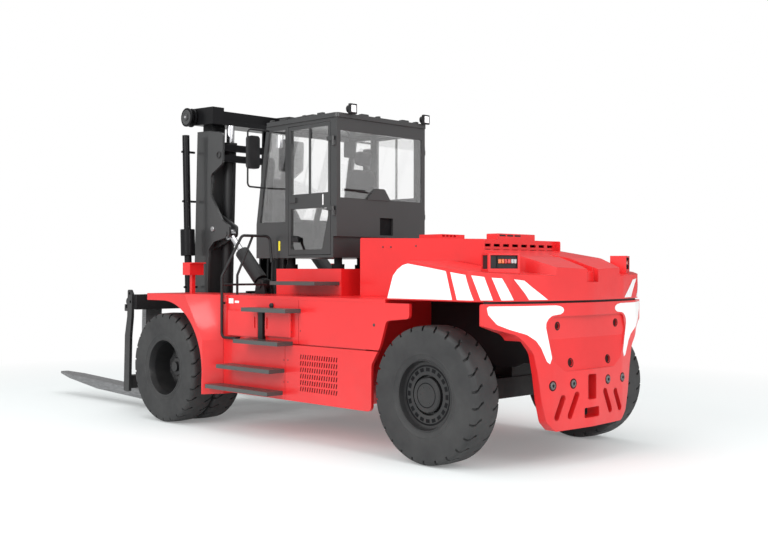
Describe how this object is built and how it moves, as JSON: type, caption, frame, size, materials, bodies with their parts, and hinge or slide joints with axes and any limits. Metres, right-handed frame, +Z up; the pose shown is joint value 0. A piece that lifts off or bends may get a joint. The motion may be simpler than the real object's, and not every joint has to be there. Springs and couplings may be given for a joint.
{
  "type": "heavy counterbalanced forklift truck",
  "caption": "Large red counterbalanced forklift truck with dual front wheels, central cab, low battery bonnet, stepped counterweight, two-stage mast and long forks.",
  "frame": {"origin": "on the ground under the middle of the truck's box", "axes": "+X forward along the forks, +Y to the driver's left, +Z up"},
  "size_m": [9.0869, 3.245, 4.0666],
  "materials": {
    "body_red": "gloss",
    "frame_dark": "satin",
    "mast_grey": "satin",
    "cab_dark": "satin",
    "fork_grey": "satin",
    "cast_red": "gloss",
    "tyre": "matte",
    "rim_dark": "satin",
    "chrome": "polished",
    "glass": "clear",
    "rubber": "matte",
    "seat_fabric": "matte",
    "plastic_dark": "matte",
    "battery_case": "satin"
  },
  "bodies": {
    "chassis": {"drive_axle": "frame_dark", "steer_axle": "frame_dark", "chassis_frame": "frame_dark", "side_tanks": "body_red", "fenders": "body_red", "side_panels": "body_red", "louvre_doors": "body_red", "deck": "body_red", "hood": "body_red", "battery_block": "battery_case", "counterweight_upper": "cast_red", "counterweight_lower": "cast_red", "tail_lamps": "plastic_dark", "steps": "frame_dark", "handrails": "frame_dark", "headlamps": "body_red", "cab_pedestal": "body_red", "cab_mounts": "rubber", "cab_frame": "cab_dark", "cab_roof": "cab_dark", "cab_glass": "glass", "seat": "seat_fabric", "controls": "plastic_dark", "mirrors": "plastic_dark", "work_lamps": "plastic_dark"},
    "front_wheels_left": {"tyres_front_left": "tyre", "rims_front_left": "rim_dark"},
    "front_wheels_right": {"tyres_front_right": "tyre", "rims_front_right": "rim_dark"},
    "steer_knuckle_left": {"knuckle_left": "frame_dark"},
    "steer_knuckle_right": {"knuckle_right": "frame_dark"},
    "rear_wheel_left": {"tyre_rear_left": "tyre", "rim_rear_left": "rim_dark"},
    "rear_wheel_right": {"tyre_rear_right": "tyre", "rim_rear_right": "rim_dark"},
    "mast_outer": {"outer_mast": "mast_grey", "mast_ties": "mast_grey", "lift_cylinders": "frame_dark", "hose_guide": "frame_dark"},
    "mast_inner": {"inner_mast": "mast_grey", "lift_rods": "chrome", "hose_reel": "frame_dark"},
    "fork_carriage": {"carriage": "mast_grey"},
    "fork_l": {"fork_left": "fork_grey"},
    "fork_r": {"fork_right": "fork_grey"},
    "tilt_cylinder_left": {"tilt_barrel_left": "frame_dark"},
    "tilt_cylinder_right": {"tilt_barrel_right": "frame_dark"},
    "tilt_piston_left": {"tilt_rod_left": "chrome"},
    "tilt_piston_right": {"tilt_rod_right": "chrome"},
    "cab_door_left": {"door_left": "cab_dark", "door_glass_left": "glass"},
    "cab_door_right": {"door_right": "cab_dark", "door_glass_right": "glass"}
  },
  "joints": [
    {"name": "front_wheels_left_spin", "type": "hinge", "parent": "chassis", "child": "front_wheels_left", "pos_m": [0.6899, 1.4465, 0.68], "axis": [0, 1, 0], "continuous": true},
    {"name": "front_wheels_right_spin", "type": "hinge", "parent": "chassis", "child": "front_wheels_right", "pos_m": [0.6899, -1.4465, 0.68], "axis": [0, 1, 0], "continuous": true},
    {"name": "steer_left", "type": "hinge", "parent": "chassis", "child": "steer_knuckle_left", "pos_m": [-3.5551, 0.95, 0.68], "axis": [0, 0, 1], "range_deg": [-60, 60]},
    {"name": "steer_right", "type": "hinge", "parent": "chassis", "child": "steer_knuckle_right", "pos_m": [-3.5551, -0.95, 0.68], "axis": [0, 0, 1], "range_deg": [-60, 60]},
    {"name": "rear_wheel_left_spin", "type": "hinge", "parent": "steer_knuckle_left", "child": "rear_wheel_left", "pos_m": [-3.5551, 1.24, 0.68], "axis": [0, 1, 0], "continuous": true},
    {"name": "rear_wheel_right_spin", "type": "hinge", "parent": "steer_knuckle_right", "child": "rear_wheel_right", "pos_m": [-3.5551, -1.24, 0.68], "axis": [0, 1, 0], "continuous": true},
    {"name": "mast_tilt", "type": "hinge", "parent": "chassis", "child": "mast_outer", "pos_m": [1.0649, 0, 0.6], "axis": [0, 1, 0], "range_deg": [-8, 8]},
    {"name": "mast_lift", "type": "slide", "parent": "mast_outer", "child": "mast_inner", "axis": [-0.0349, 0, 0.9994], "range_m": [0, 2]},
    {"name": "carriage_lift", "type": "slide", "parent": "mast_inner", "child": "fork_carriage", "axis": [-0.0349, 0, 0.9994], "range_m": [0, 2]},
    {"name": "fork_left_shift", "type": "slide", "parent": "fork_carriage", "child": "fork_l", "axis": [0, 1, 0], "range_m": [-0.45, 0.25]},
    {"name": "fork_right_shift", "type": "slide", "parent": "fork_carriage", "child": "fork_r", "axis": [0, -1, 0], "range_m": [-0.45, 0.25]},
    {"name": "tilt_cylinder_left_swing", "type": "hinge", "parent": "chassis", "child": "tilt_cylinder_left", "pos_m": [-0.0551, 0.62, 1.705], "axis": [0, 1, 0], "range_deg": [-12, 12]},
    {"name": "tilt_cylinder_right_swing", "type": "hinge", "parent": "chassis", "child": "tilt_cylinder_right", "pos_m": [-0.0551, -0.62, 1.705], "axis": [0, 1, 0], "range_deg": [-12, 12]},
    {"name": "tilt_piston_left_stroke", "type": "slide", "parent": "tilt_cylinder_left", "child": "tilt_piston_left", "axis": [0.7348, 0, 0.6783], "range_m": [-0.26, 0.26]},
    {"name": "tilt_piston_right_stroke", "type": "slide", "parent": "tilt_cylinder_right", "child": "tilt_piston_right", "axis": [0.7348, 0, 0.6783], "range_m": [-0.26, 0.26]},
    {"name": "cab_door_left_hinge", "type": "hinge", "parent": "chassis", "child": "cab_door_left", "pos_m": [-1.5151, 0.762, 2.8], "axis": [0, 0, 1], "range_deg": [0, 95]},
    {"name": "cab_door_right_hinge", "type": "hinge", "parent": "chassis", "child": "cab_door_right", "pos_m": [-1.5151, -0.762, 2.8], "axis": [0, 0, -1], "range_deg": [0, 95]}
  ],
  "couplings": [
    {"joint": "steer_right", "follows": "steer_left", "ratio": 1},
    {"joint": "carriage_lift", "follows": "mast_lift", "ratio": 1},
    {"joint": "tilt_cylinder_left_swing", "follows": "mast_tilt", "ratio": 0.925},
    {"joint": "tilt_cylinder_right_swing", "follows": "mast_tilt", "ratio": 0.925},
    {"joint": "tilt_piston_left_stroke", "follows": "mast_tilt", "m_per_rad": 1.565},
    {"joint": "tilt_piston_right_stroke", "follows": "mast_tilt", "m_per_rad": 1.565}
  ]
}
